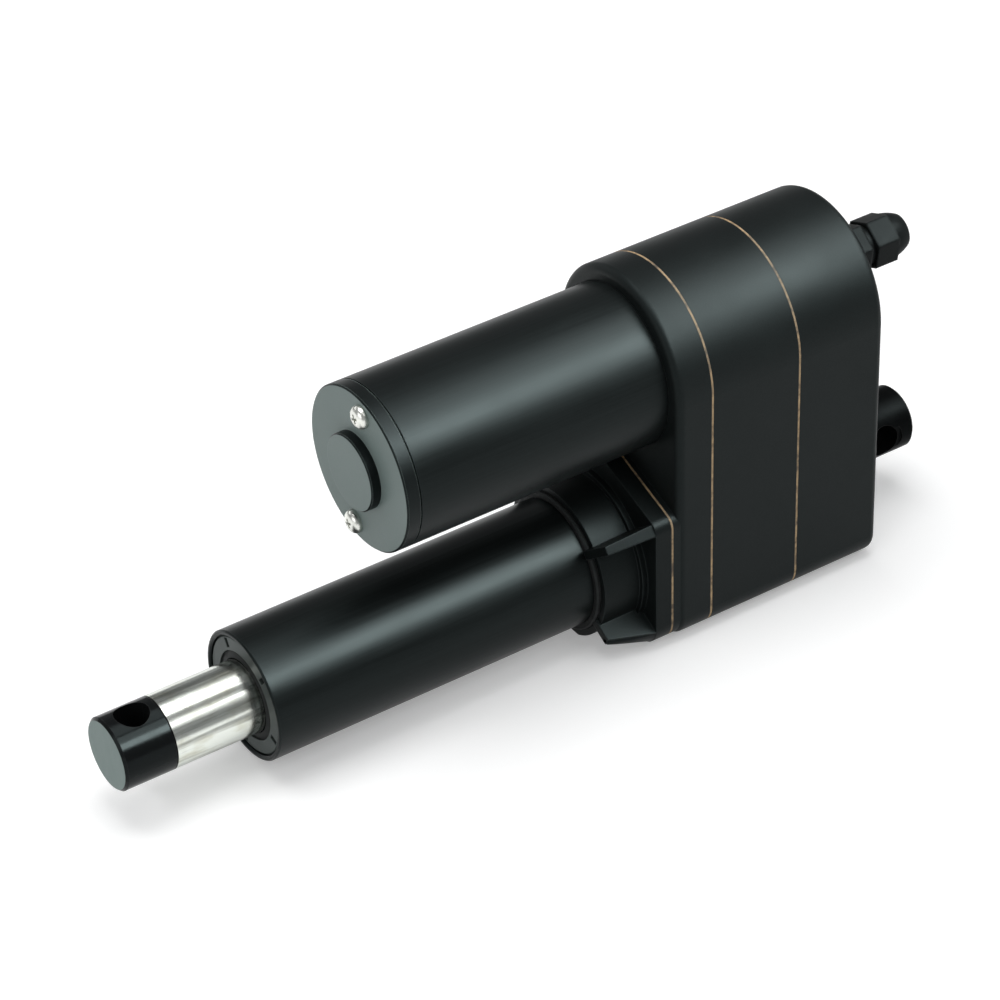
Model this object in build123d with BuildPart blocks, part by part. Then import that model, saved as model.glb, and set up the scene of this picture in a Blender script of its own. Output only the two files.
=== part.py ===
from build123d import *
import math
import os

# Electric linear actuator with a parallel motor, in millimetres.
# +X is the direction in which the rod extends and +Z points up to the motor.
# The origin is the centre of the rear pin hole, on the axis of screw, rod and tube.

# Clearances
fit = 0.05
running = 0.3
gasket_thickness = 0.8

# Stroke, mounting eyes and pin holes
stroke = 100.0
pin_radius = 6.5
eye_radius = 12.5
eye_end = 14.0
eye_to_housing = 23.3
eye_spot_radius = 8.2
eye_spot_depth = 0.8
eye_shank_radius = 9.0
eye_chamfer = 1.0
rear_boss_radius = 18.0
rear_boss_height = 2.5
eye_thread_proud = 2.0
eye_nut_height = 8.0
eye_nut_flats = 27.0

# Gear housing, seen along X: flat base, straight sides and a round top about the motor
half_width = 37.5
base_level = -28.0
base_corner = 10.0
wall = 4.5
rear_wall = 7.0
rear_depth = 38.0
middle_depth = 38.0
front_depth = 14.6
front_pocket = 2.6
web = 7.0
edge_round = 3.0

# Long housing screws
screw_radius = 2.5
screw_head_radius = 4.25
screw_head_height = 5.0
screw_boss_radius = 6.0
screw_socket_flats = 4.0
screw_socket_depth = 3.0
screw_skin = 3.0
screw_tip_gap = 1.0
screw_base_inset = 9.5
screw_top_inset = 6.5
screw_top_angles = (15.0, 125.0, 165.0)

# Tube flange: plate with a sloping roof, collar, two posts and two gussets
flange_inset = 0.5
flange_shoulder = 28.9
flange_peak = 42.0
flange_corner = 5.0
flange_peak_round = 6.0
flange_seat = 1.9
flange_plate = 6.9
collar_radius = 30.0
collar_length = 17.7
collar_step_radius = 32.0
collar_step = 2.4
post_angle = 37.5
post_length = 20.8
post_root_width = 4.6
post_tip_width = 3.4
gusset_angle = -29.4
gusset_tip_reach = 36.4
gusset_length = 18.6
gusset_width = 3.6
tube_inset = 1.0
gusset_sink = 1.0
collar_recess = 1.8

# Outer tube and its front end
tube_radius = 25.0
tube_wall = 2.0
tube_length = 159.0
seal_ring_width = 2.3
seal_ring_proud = 1.5
bushing_length = 20.0
bushing_set_back = 3.0
retainer_thickness = 2.2
retainer_set_back = 0.8
retainer_slots = 5
retainer_slot_width = 2.2
retainer_slot_depth = 1.5
retainer_slot_angle = 121.0
retainer_bore = 17.2
wiper_thickness = 3.4
rim_chamfer = 0.6

# Extension rod, its end and its nut
rod_radius = 14.0
rod_bore = 10.0
rod_rear_gap = 12.0
rod_out = 34.5
rod_end_length = 20.8
rod_end_pin = 11.1
rod_end_plug = 20.0
rod_end_chamfer = 1.0
nut_length = 24.0
nut_flange = 8.0
nut_clearance = 0.4
nut_gap = 6.0

# Lead screw, its bearings and lock nut
thread_radius = 8.0
screw_front_journal = 8.5
screw_gear_seat = 9.0
screw_rear_journal = 7.5
screw_stub = 6.0
screw_past_nut = 5.0
bearing_lip = 1.0
bearing_ring_share = 0.32
bearing_shield_depth = 0.6
thrust_bearing_radius = 17.5
thrust_bearing_width = 11.0
thrust_boss_radius = 21.0
front_bearing_radius = 17.5
front_bearing_width = 10.0
lock_nut_radius = 12.0
lock_nut_width = 6.5
lock_nut_gap = 1.0
guide_width = 4.0
guide_clearance = 0.4
key_width = 5.0
key_height = 2.5

# Gear train: motor pinion, intermediate wheel and pinion, screw gear
pressure_angle = 20.0
first_module = 1.0
motor_teeth = 18
wheel_teeth = 56
first_backlash = 0.2
second_module = 1.6
pinion_teeth = 23
screw_teeth = 27
second_backlash = 0.26
screw_gear_width = 12.0
wheel_width = 9.0
motor_pinion_width = 12.0
gear_gap = 1.0
wheel_gap = 1.5
wheel_web = 4.0
wheel_rim = 3.5
wheel_hub_radius = 11.0
wheel_holes = 6
wheel_hole_radius = 3.2
shaft_radius = 5.0
shaft_bearing_radius = 13.0
shaft_bearing_width = 8.0
shaft_boss_radius = 16.0
shaft_boss_height = 3.0
shaft_end_gap = 0.5

# Motor
motor_radius = 31.5
can_wall = 2.5
motor_recess = 2.0
motor_length = 112.1
cap_thickness = 6.0
cap_groove = 0.6
cap_boss_radius = 14.7
cap_boss_height = 4.0
cap_boss_chamfer = 0.5
cap_screw_spread = 25.2
cap_screw_angles = (80.7, 260.7)
cap_screw_radius = 4.0
cap_screw_head = 2.4
cap_screw_shank = 2.0
cap_screw_top = 2.4
cap_screw_length = 14.0
motor_plate_thickness = 5.0
pilot_radius = 14.0
pilot_length = 8.0
motor_bearing_radius = 11.0
motor_bearing_width = 7.0
motor_bearing_wall = 2.5
motor_bearing_proud = 1.0
cap_bearing_proud = 3.0
shaft_opening = 1.0
motor_shaft_radius = 4.0
magnet_thickness = 4.0
magnet_length = 68.0
magnet_arc = 130.0
magnet_setback = 6.0
air_gap = 0.8
core_length = 54.0
core_slots = 12
core_slot_width = 3.4
core_slot_depth = 7.5
winding_radius = 20.0
winding_length = 9.0
winding_round = 2.0
commutator_radius = 11.0
commutator_length = 14.0
commutator_collar = 2.0
commutator_riser = 1.5
brush_width = 6.0
brush_length = 11.0
holder_thickness = 4.0
holder_gap = 2.0
holder_wall = 1.5

# Cable gland on the rear face
gland_angle = 54.0
gland_wall_gap = 0.7
gland_thread_radius = 6.0
gland_flats = 17.4
gland_body_length = 5.0
gland_groove_length = 2.4
gland_groove_radius = 7.8
gland_nut_length = 10.0
gland_dome_length = 6.5
gland_dome_radius = 6.6
gland_bore = 3.4
gland_seal_wall = 1.4
gland_lock_radius = 7.6
gland_lock_height = 4.0
gland_thread_proud = 1.0
gland_seal_inset = 1.0
gland_turn = 22.5
gland_dome_bulge = 1.3

# Places of the two upper shafts, then places along X, worked out from the sizes above
second_centres = second_module * (pinion_teeth + screw_teeth) / 2
first_centres = first_module * (motor_teeth + wheel_teeth) / 2
shaft_level = second_centres
motor_level = shaft_level + first_centres
rear_face = eye_to_housing
rear_joint = rear_face + rear_depth
middle_rear = rear_joint + gasket_thickness
middle_front = middle_rear + middle_depth
front_rear = middle_front + gasket_thickness
front_face = front_rear + front_depth
seat_face = front_face + flange_seat
flange_rear = seat_face + gasket_thickness
flange_face = flange_rear + flange_plate
flange_base = base_level + flange_inset
flange_side = half_width - flange_inset
post_lean = math.radians(post_angle)
post_reach = (flange_side - post_root_width / 2 * math.sin(post_lean)) / math.cos(post_lean)
gusset_lean = math.radians(abs(gusset_angle))
gusset_root_reach = (flange_side - gusset_width / 2 * math.sin(gusset_lean)) / math.cos(gusset_lean)
collar_front = flange_face + collar_length
tube_rear = flange_rear + tube_inset
tube_front = tube_rear + tube_length
tube_bore = tube_radius - tube_wall
inner_wall = front_rear + front_pocket
web_front = middle_rear + web
thrust_rear = middle_rear + bearing_lip
thrust_front = thrust_rear + thrust_bearing_width
screw_gear_rear = thrust_front + gear_gap
screw_gear_front = screw_gear_rear + screw_gear_width
wheel_rear = screw_gear_front + wheel_gap
wheel_front = wheel_rear + wheel_width
screw_bearing_rear = inner_wall + bearing_lip
screw_bearing_front = screw_bearing_rear + front_bearing_width
nut_rear = flange_rear + 2 * nut_gap
nut_front = nut_rear + nut_length
rod_rear = nut_rear + rod_rear_gap
rod_front = tube_front + rod_out
rod_tip = rod_front + rod_end_length
front_pin = rod_tip - rod_end_pin
screw_front = nut_front + stroke + screw_past_nut
motor_rear = front_face - motor_recess
cap_front = motor_rear + motor_length
can_front = cap_front - cap_thickness
gland_reach = half_width - wall - gland_wall_gap - gland_lock_radius
gland_side = gland_reach * math.cos(math.radians(gland_angle))
gland_level = motor_level + gland_reach * math.sin(math.radians(gland_angle))
cap_screw_places = [
    (cap_screw_spread * math.cos(math.radians(a)), motor_level + cap_screw_spread * math.sin(math.radians(a)))
    for a in cap_screw_angles
]
screw_side = half_width - screw_base_inset
screw_level = base_level + screw_base_inset
screw_top_radius = half_width - screw_top_inset
screw_top_places = [
    (screw_top_radius * math.cos(math.radians(a)), motor_level + screw_top_radius * math.sin(math.radians(a)))
    for a in screw_top_angles
]
screw_places = [(-screw_side, screw_level), (screw_side, screw_level)] + screw_top_places

os.makedirs("parts", exist_ok=True)


def save(piece, name):
    piece.label = name
    export_step(piece, f"parts/{name}.step")


def turned(points, level=0.0, side=0.0):
    """A solid of revolution about a line along X, from (x, radius) points."""
    profile_plane = Plane(origin=(0, side, level), x_dir=(1, 0, 0), z_dir=(0, -1, 0))
    with BuildPart() as piece:
        with BuildSketch(profile_plane):
            with BuildLine():
                Polyline(*points, close=True)
            make_face()
        revolve(axis=Axis((0, side, level), (1, 0, 0)))
    return piece.part


def ring(start, end, inner, outer, level=0.0, side=0.0):
    return turned([(start, inner), (start, outer), (end, outer), (end, inner)], level, side)


def housing_section(x, inset=0.0):
    """The outline of the gear housing at x, moved inwards by inset."""
    side = half_width - inset
    base = base_level + inset
    with BuildSketch(Plane.YZ.offset(x)) as section:
        with BuildLine():
            FilletPolyline(
                (-side, motor_level), (-side, base), (side, base), (side, motor_level),
                radius=base_corner - inset,
            )
            ThreePointArc((side, motor_level), (0, motor_level + side), (-side, motor_level))
        make_face()
    return section.sketch


def flange_section(x):
    """The outline shared by the flange plate, its gasket and its seat."""
    with BuildSketch(Plane.YZ.offset(x)) as section:
        with BuildLine():
            FilletPolyline(
                (0, flange_peak), (-flange_side, flange_shoulder), (-flange_side, flange_base),
                (flange_side, flange_base), (flange_side, flange_shoulder),
                radius=[flange_peak_round, flange_corner, base_corner, base_corner, flange_corner],
                close=True,
            )
        make_face()
    return section.sketch


def circles(x, radius, places):
    with BuildSketch(Plane.YZ.offset(x)) as section:
        with Locations(*places):
            Circle(radius)
    return section.sketch


def gasket_part(x):
    with BuildPart() as piece:
        extrude(housing_section(x), amount=gasket_thickness)
        extrude(housing_section(x, wall), amount=gasket_thickness, mode=Mode.SUBTRACT)
        extrude(circles(x, screw_boss_radius, screw_places), amount=gasket_thickness)
        extrude(circles(x, screw_radius + fit, screw_places), amount=gasket_thickness, mode=Mode.SUBTRACT)
    return piece.part


def gear_section(x, level, module, teeth, first_tooth, backlash):
    """An involute gear outline about a line along X, with a tooth at first_tooth degrees."""
    pitch = module * teeth / 2
    base = pitch * math.cos(math.radians(pressure_angle))
    tip = pitch + module
    root = pitch - 1.25 * module
    start = max(base, root)
    tooth_half = math.pi / (2 * teeth) - backlash / (4 * pitch)
    pressure = math.radians(pressure_angle)

    def spread(radius):
        angle = math.acos(min(1.0, base / radius))
        return tooth_half + (math.tan(pressure) - pressure) - (math.tan(angle) - angle)

    def point(radius, angle):
        return (radius * math.cos(angle), radius * math.sin(angle))

    middle = (start + tip) / 2
    with BuildSketch(Plane(origin=(x, 0, level), x_dir=(0, 1, 0), z_dir=(1, 0, 0))) as section:
        with BuildLine():
            for tooth in range(teeth):
                centre = math.radians(first_tooth) + tooth * 2 * math.pi / teeth
                following = centre + 2 * math.pi / teeth
                if root < base:
                    Line(point(root, centre - spread(base)), point(base, centre - spread(base)))
                    Line(point(base, centre + spread(base)), point(root, centre + spread(base)))
                ThreePointArc(
                    point(start, centre - spread(start)),
                    point(middle, centre - spread(middle)),
                    point(tip, centre - spread(tip)),
                )
                Line(point(tip, centre - spread(tip)), point(tip, centre + spread(tip)))
                ThreePointArc(
                    point(tip, centre + spread(tip)),
                    point(middle, centre + spread(middle)),
                    point(start, centre + spread(start)),
                )
                Line(point(root, centre + spread(start)), point(root, following - spread(start)))
        make_face()
    return section.sketch


def bearing_part(start, end, bore, outer, level):
    """A ball bearing with two shield grooves between its rings."""
    mid_low = bore + (outer - bore) * bearing_ring_share
    mid_high = outer - (outer - bore) * bearing_ring_share
    dip = bearing_shield_depth
    return turned(
        [
            (start, bore + fit), (end, bore + fit), (end, mid_low), (end - dip, mid_low),
            (end - dip, mid_high), (end, mid_high), (end, outer - fit), (start, outer - fit),
            (start, mid_high), (start + dip, mid_high), (start + dip, mid_low), (start, mid_low),
        ],
        level,
    )


# Rear eye: round bar with a cross hole along Y, a shank through the rear wall and its nut
boss_face = rear_face - rear_boss_height
shank_end = rear_face + rear_wall + eye_nut_height + eye_thread_proud
rear_eye_blank = turned(
    [
        (-eye_end, 0), (-eye_end, eye_radius - eye_chamfer), (-eye_end + eye_chamfer, eye_radius),
        (boss_face, eye_radius), (boss_face, eye_shank_radius), (shank_end, eye_shank_radius),
        (shank_end, 0),
    ]
)
with BuildPart() as rear_eye:
    add(rear_eye_blank)
    with BuildSketch(Plane.XZ):
        Circle(pin_radius)
    extrude(amount=2 * eye_radius, both=True, mode=Mode.SUBTRACT)
    for facing in (1, -1):
        with BuildSketch(Plane.XZ.offset(facing * (eye_radius - eye_spot_depth))):
            Circle(eye_spot_radius)
        extrude(amount=facing * 2 * eye_spot_depth, mode=Mode.SUBTRACT)
save(rear_eye.part, "rear_eye")

with BuildPart() as rear_eye_nut:
    with BuildSketch(Plane.YZ.offset(rear_face + rear_wall)):
        RegularPolygon(eye_nut_flats / 2, 6, major_radius=False)
        Circle(eye_shank_radius + fit, mode=Mode.SUBTRACT)
    extrude(amount=eye_nut_height)
save(rear_eye_nut.part, "rear_eye_nut")

# Gear housing: rear cover, middle housing with the bearing web, front housing
with BuildPart() as rear_cover:
    extrude(housing_section(rear_face), amount=rear_depth)
    fillet(rear_cover.faces().sort_by(Axis.X)[0].edges(), edge_round)
    extrude(housing_section(rear_face + rear_wall, wall), amount=rear_depth - rear_wall, mode=Mode.SUBTRACT)
    extrude(circles(rear_face + rear_wall, screw_boss_radius, screw_places), amount=rear_depth - rear_wall)
    with BuildSketch(Plane.YZ.offset(boss_face)):
        Circle(rear_boss_radius)
    extrude(amount=rear_boss_height)
    with BuildSketch(Plane.YZ.offset(boss_face)):
        Circle(eye_shank_radius + fit)
        with Locations((gland_side, gland_level)):
            Circle(gland_thread_radius + fit)
    extrude(amount=rear_boss_height + rear_wall, mode=Mode.SUBTRACT)
    extrude(circles(rear_face, screw_radius + fit, screw_places), amount=rear_depth, mode=Mode.SUBTRACT)
    head_holes = circles(rear_face, screw_head_radius + fit, screw_places)
    extrude(head_holes, amount=screw_head_height, mode=Mode.SUBTRACT)
save(rear_cover.part, "rear_cover")

rear_gasket = gasket_part(rear_joint)
save(rear_gasket, "rear_gasket")

with BuildPart() as middle_housing:
    extrude(housing_section(middle_rear), amount=middle_depth)
    extrude(housing_section(web_front, wall), amount=middle_depth - web, mode=Mode.SUBTRACT)
    extrude(circles(web_front, screw_boss_radius, screw_places), amount=middle_depth - web)
    with BuildSketch(Plane.YZ.offset(web_front)):
        Circle(thrust_boss_radius)
    extrude(amount=thrust_front - web_front)
    with BuildSketch(Plane.YZ.offset(web_front)):
        with Locations((0, shaft_level)):
            Circle(shaft_boss_radius)
    extrude(amount=shaft_boss_height)
    with BuildSketch(Plane.YZ.offset(thrust_rear)):
        Circle(thrust_bearing_radius)
    extrude(amount=thrust_bearing_width, mode=Mode.SUBTRACT)
    with BuildSketch(Plane.YZ.offset(middle_rear)):
        Circle(thrust_bearing_radius - 2 * bearing_lip)
    extrude(amount=bearing_lip, mode=Mode.SUBTRACT)
    with BuildSketch(Plane.YZ.offset(web_front + shaft_boss_height - shaft_bearing_width)):
        with Locations((0, shaft_level)):
            Circle(shaft_bearing_radius)
    extrude(amount=shaft_bearing_width, mode=Mode.SUBTRACT)
    extrude(circles(middle_rear, screw_radius + fit, screw_places), amount=middle_depth, mode=Mode.SUBTRACT)
save(middle_housing.part, "middle_housing")

front_gasket = gasket_part(middle_front)
save(front_gasket, "front_gasket")

screw_hole_depth = front_depth - screw_skin
with BuildPart() as front_housing:
    extrude(housing_section(front_rear), amount=front_depth)
    fillet(front_housing.faces().sort_by(Axis.X)[-1].edges(), edge_round)
    extrude(flange_section(front_face - edge_round), amount=edge_round + flange_seat)
    extrude(housing_section(front_rear, wall), amount=front_pocket, mode=Mode.SUBTRACT)
    extrude(circles(front_rear, screw_boss_radius, screw_places), amount=front_pocket)
    with BuildSketch(Plane.YZ.offset(motor_rear)):
        with Locations((0, motor_level)):
            Circle(motor_radius + fit)
    extrude(amount=motor_recess, mode=Mode.SUBTRACT)
    with BuildSketch(Plane.YZ.offset(inner_wall)):
        with Locations((0, motor_level)):
            Circle(pilot_radius)
    extrude(amount=motor_rear - inner_wall, mode=Mode.SUBTRACT)
    with BuildSketch(Plane.YZ.offset(inner_wall)):
        with Locations((0, shaft_level)):
            Circle(shaft_bearing_radius)
    extrude(amount=shaft_bearing_width, mode=Mode.SUBTRACT)
    with BuildSketch(Plane.YZ.offset(inner_wall)):
        Circle(front_bearing_radius)
    extrude(amount=screw_bearing_front - inner_wall, mode=Mode.SUBTRACT)
    with BuildSketch(Plane.YZ.offset(screw_bearing_front)):
        Circle(front_bearing_radius - 2 * bearing_lip)
    extrude(amount=seat_face - screw_bearing_front, mode=Mode.SUBTRACT)
    blind_holes = circles(front_rear, screw_radius + fit, screw_places)
    extrude(blind_holes, amount=screw_hole_depth, mode=Mode.SUBTRACT)
save(front_housing.part, "front_housing")

for number, (across, level) in enumerate(screw_places, start=1):
    seat = rear_face + screw_head_height
    tip = front_rear + screw_hole_depth - screw_tip_gap
    housing_screw_blank = turned(
        [
            (rear_face, 0), (rear_face, screw_head_radius), (seat, screw_head_radius),
            (seat, screw_radius), (tip, screw_radius), (tip, 0),
        ],
        level,
        across,
    )
    with BuildPart() as housing_screw:
        add(housing_screw_blank)
        with BuildSketch(Plane.YZ.offset(rear_face)):
            with Locations((across, level)):
                RegularPolygon(screw_socket_flats / 2, 6, major_radius=False)
        extrude(amount=screw_socket_depth, mode=Mode.SUBTRACT)
    save(housing_screw.part, f"housing_screw_{number}")

# Tube flange with its gasket
with BuildPart() as tube_gasket:
    extrude(flange_section(seat_face), amount=gasket_thickness)
    with BuildSketch(Plane.YZ.offset(seat_face)):
        Circle(tube_bore)
    extrude(amount=gasket_thickness, mode=Mode.SUBTRACT)
save(tube_gasket.part, "tube_gasket")

with BuildPart() as tube_flange:
    extrude(flange_section(flange_rear), amount=flange_plate)
    for radius, length in ((collar_step_radius, collar_step), (collar_radius, collar_length)):
        with BuildSketch(Plane.YZ.offset(flange_face)):
            Circle(radius)
            with Locations((0, flange_base)):
                Rectangle(2 * radius, radius, align=(Align.CENTER, Align.MAX), mode=Mode.SUBTRACT)
        extrude(amount=length)
    for angle in (post_angle, 180 - post_angle):
        middle_reach = (tube_radius + 2 * fit + post_reach) / 2
        place = (middle_reach * math.cos(math.radians(angle)), middle_reach * math.sin(math.radians(angle)))
        with BuildSketch(Plane.YZ.offset(flange_face)):
            with Locations(Location((place[0], place[1], 0), (0, 0, 1), angle)):
                Rectangle(post_reach - tube_radius - 2 * fit, post_root_width)
        with BuildSketch(Plane.YZ.offset(flange_face + post_length)):
            with Locations(Location((place[0], place[1], 0), (0, 0, 1), angle)):
                Rectangle(post_reach - tube_radius - 2 * fit, post_tip_width)
        loft()
    for angle in (gusset_angle, 180 - gusset_angle):
        outward = Vector(0, math.cos(math.radians(angle)), math.sin(math.radians(angle)))
        gusset_plane = Plane(origin=(flange_face, 0, 0), x_dir=(1, 0, 0), z_dir=Vector(1, 0, 0).cross(outward))
        with BuildSketch(gusset_plane):
            with BuildLine():
                Polyline(
                    (0, tube_radius + gusset_sink), (0, gusset_root_reach), (gusset_length, gusset_tip_reach),
                    (gusset_length, tube_radius + gusset_sink), close=True,
                )
            make_face()
        extrude(amount=gusset_width / 2, both=True)
    with BuildSketch(Plane.YZ.offset(tube_rear)):
        Circle(tube_radius + fit)
    extrude(amount=post_length + flange_plate, mode=Mode.SUBTRACT)
    with BuildSketch(Plane.YZ.offset(flange_rear)):
        Circle(tube_bore)
    extrude(amount=tube_inset, mode=Mode.SUBTRACT)
    with BuildSketch(Plane.YZ.offset(collar_front - collar_recess)):
        Circle(tube_radius + seal_ring_width + fit)
    extrude(amount=post_length, mode=Mode.SUBTRACT)
save(tube_flange.part, "tube_flange")

tube_seal = turned(
    [
        (collar_front - collar_recess, tube_radius + fit),
        (collar_front - collar_recess, tube_radius + seal_ring_width),
        (collar_front + seal_ring_proud - rim_chamfer, tube_radius + seal_ring_width),
        (collar_front + seal_ring_proud, tube_radius + seal_ring_width - rim_chamfer),
        (collar_front + seal_ring_proud, tube_radius + fit),
    ]
)
save(tube_seal, "tube_seal")

# Outer tube, front bushing, slotted retainer and wiper
outer_tube = turned(
    [
        (tube_rear, tube_bore), (tube_rear, tube_radius), (tube_front - rim_chamfer, tube_radius),
        (tube_front, tube_radius - rim_chamfer), (tube_front, tube_bore + rim_chamfer),
        (tube_front - rim_chamfer, tube_bore),
    ]
)
save(outer_tube, "outer_tube")

bushing_front = tube_front - bushing_set_back
bushing_rear = bushing_front - bushing_length
front_bushing = turned(
    [
        (bushing_rear, rod_radius + fit), (bushing_rear, tube_bore - fit),
        (bushing_front, tube_bore - fit), (bushing_front, retainer_bore),
        (bushing_front - wiper_thickness, retainer_bore),
        (bushing_front - wiper_thickness, rod_radius + fit),
    ]
)
save(front_bushing, "front_bushing")

retainer_front = bushing_front + retainer_thickness
with BuildPart() as wiper_retainer:
    with BuildSketch(Plane.YZ.offset(bushing_front)):
        Circle(tube_bore - fit)
        Circle(retainer_bore, mode=Mode.SUBTRACT)
    extrude(amount=retainer_thickness)
    chamfer(wiper_retainer.faces().sort_by(Axis.X)[-1].edges().sort_by(SortBy.RADIUS)[-1:], retainer_set_back)
    for slot in range(retainer_slots):
        angle = retainer_slot_angle + slot * 360 / retainer_slots
        slot_middle = (tube_bore + retainer_bore) / 2
        with BuildSketch(Plane.YZ.offset(retainer_front)):
            with Locations(
                Location(
                    (slot_middle * math.cos(math.radians(angle)), slot_middle * math.sin(math.radians(angle)), 0),
                    (0, 0, 1),
                    angle,
                )
            ):
                Rectangle(tube_bore - retainer_bore - retainer_slot_width, retainer_slot_width)
        extrude(amount=-retainer_slot_depth, mode=Mode.SUBTRACT)
save(wiper_retainer.part, "wiper_retainer")

rod_wiper = turned(
    [
        (bushing_front - wiper_thickness, rod_radius + running),
        (bushing_front - wiper_thickness, retainer_bore - fit),
        (retainer_front - retainer_set_back, retainer_bore - fit),
        (retainer_front, rod_radius + 2 * running),
        (retainer_front, rod_radius + running),
    ]
)
save(rod_wiper, "rod_wiper")

# Extension rod, rod end with a cross hole along Z, and drive nut
extension_rod = turned(
    [
        (rod_rear, rod_bore), (rod_rear, rod_radius), (rod_front, rod_radius), (rod_front, rod_bore),
    ]
)
save(extension_rod, "extension_rod")

rod_end_blank = turned(
    [
        (rod_front - rod_end_plug, 0), (rod_front - rod_end_plug, rod_bore - fit),
        (rod_front, rod_bore - fit), (rod_front, rod_radius - rod_end_chamfer / 2),
        (rod_front + rod_end_chamfer / 2, rod_radius), (rod_tip - rod_end_chamfer, rod_radius),
        (rod_tip, rod_radius - rod_end_chamfer), (rod_tip, 0),
    ]
)
with BuildPart() as rod_end:
    add(rod_end_blank)
    with BuildSketch(Plane.XY):
        with Locations((front_pin, 0)):
            Circle(pin_radius)
    extrude(amount=2 * rod_radius, both=True, mode=Mode.SUBTRACT)
save(rod_end.part, "rod_end")

drive_nut = turned(
    [
        (nut_rear, thread_radius + fit), (nut_rear, tube_bore - nut_clearance),
        (nut_rear + nut_flange, tube_bore - nut_clearance), (nut_rear + nut_flange, rod_radius),
        (rod_rear, rod_radius), (rod_rear, rod_bore - fit), (nut_front, rod_bore - fit),
        (nut_front, thread_radius + fit),
    ]
)
save(drive_nut, "drive_nut")

# Lead screw with its gear, key, lock nut, front guide and bearings
stub_end = thrust_rear - lock_nut_gap - bearing_lip - lock_nut_width - screw_stub / 2
lead_screw_blank = turned(
    [
        (stub_end, 0), (stub_end, screw_rear_journal), (thrust_front + gear_gap / 2, screw_rear_journal),
        (thrust_front + gear_gap / 2, screw_gear_seat), (screw_bearing_rear - gear_gap / 2, screw_gear_seat),
        (screw_bearing_rear - gear_gap / 2, screw_front_journal),
        (screw_bearing_front + gear_gap, screw_front_journal), (screw_bearing_front + gear_gap, thread_radius),
        (screw_front, thread_radius), (screw_front, 0),
    ]
)
with BuildPart() as lead_screw:
    add(lead_screw_blank)
    with BuildSketch(Plane.XY.offset(-screw_gear_seat)):
        with Locations(((screw_gear_rear + screw_gear_front) / 2, 0)):
            Rectangle(screw_gear_width, key_width)
    extrude(amount=key_height, mode=Mode.SUBTRACT)
save(lead_screw.part, "lead_screw")

with BuildPart() as screw_key:
    with BuildSketch(Plane.XY.offset(key_height - screw_gear_seat)):
        with Locations(((screw_gear_rear + screw_gear_front) / 2, 0)):
            Rectangle(screw_gear_width - 2 * fit, key_width - 2 * fit)
    extrude(amount=-2 * key_height + fit)
save(screw_key.part, "screw_key")

half_screw_pitch = 180 / screw_teeth
with BuildPart() as screw_gear:
    extrude(
        gear_section(screw_gear_rear, 0.0, second_module, screw_teeth, 90 + half_screw_pitch, second_backlash),
        amount=screw_gear_width,
    )
    with BuildSketch(Plane.YZ.offset(screw_gear_rear)):
        Circle(screw_gear_seat + fit)
        with Locations((0, -screw_gear_seat)):
            Rectangle(key_width, 2 * key_height)
    extrude(amount=screw_gear_width, mode=Mode.SUBTRACT)
save(screw_gear.part, "screw_gear")

lock_nut_rear = middle_rear - lock_nut_gap - lock_nut_width
lock_nut = ring(lock_nut_rear, lock_nut_rear + lock_nut_width, screw_rear_journal + fit, lock_nut_radius)
save(lock_nut, "lock_nut")

screw_guide = ring(screw_front, screw_front + guide_width, 0.0, rod_bore - guide_clearance)
save(screw_guide, "screw_guide")

thrust_bearing = bearing_part(thrust_rear, thrust_front, screw_rear_journal, thrust_bearing_radius, 0.0)
save(thrust_bearing, "thrust_bearing")

screw_bearing = bearing_part(
    screw_bearing_rear, screw_bearing_front, screw_front_journal, front_bearing_radius, 0.0
)
save(screw_bearing, "screw_bearing")

# Intermediate shaft with its wheel, pinion and bearings
shaft_rear = web_front + shaft_boss_height - shaft_bearing_width
shaft_front = inner_wall + shaft_bearing_width
pinion_rear = screw_gear_rear - gear_gap / 2
with BuildPart() as intermediate_pinion:
    extrude(
        gear_section(pinion_rear, shaft_level, second_module, pinion_teeth, -90, second_backlash),
        amount=wheel_rear - pinion_rear,
    )
    with BuildSketch(Plane.YZ.offset(pinion_rear)):
        with Locations((0, shaft_level)):
            Circle(shaft_radius + fit)
    extrude(amount=wheel_rear - pinion_rear, mode=Mode.SUBTRACT)
save(intermediate_pinion.part, "intermediate_pinion")

half_wheel_pitch = 180 / wheel_teeth
wheel_root = first_module * (wheel_teeth / 2 - 1.25)
with BuildPart() as intermediate_wheel:
    extrude(
        gear_section(wheel_rear, shaft_level, first_module, wheel_teeth, 90 + half_wheel_pitch, first_backlash),
        amount=wheel_width,
    )
    for face, direction in ((wheel_rear, 1), (wheel_front, -1)):
        with BuildSketch(Plane.YZ.offset(face)):
            with Locations((0, shaft_level)):
                Circle(wheel_root - wheel_rim)
                Circle(wheel_hub_radius, mode=Mode.SUBTRACT)
        extrude(amount=direction * (wheel_width - wheel_web) / 2, mode=Mode.SUBTRACT)
    with BuildSketch(Plane.YZ.offset(wheel_rear)):
        with Locations((0, shaft_level)):
            with PolarLocations((wheel_root - wheel_rim + wheel_hub_radius) / 2, wheel_holes):
                Circle(wheel_hole_radius)
            Circle(shaft_radius + fit)
    extrude(amount=wheel_width, mode=Mode.SUBTRACT)
save(intermediate_wheel.part, "intermediate_wheel")

intermediate_shaft = ring(
    shaft_rear + shaft_end_gap, shaft_front - shaft_end_gap, 0.0, shaft_radius, shaft_level
)
save(intermediate_shaft, "intermediate_shaft")

for name, start in (("rear", shaft_rear), ("front", inner_wall)):
    shaft_bearing = bearing_part(
        start, start + shaft_bearing_width, shaft_radius, shaft_bearing_radius, shaft_level
    )
    save(shaft_bearing, f"shaft_bearing_{name}")

# Motor: can, front plate, end cap, magnets, bearings and brushes
can_bore = motor_radius - can_wall
motor_can = ring(motor_rear, can_front, can_bore, motor_radius, motor_level)
save(motor_can, "motor_can")

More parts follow.
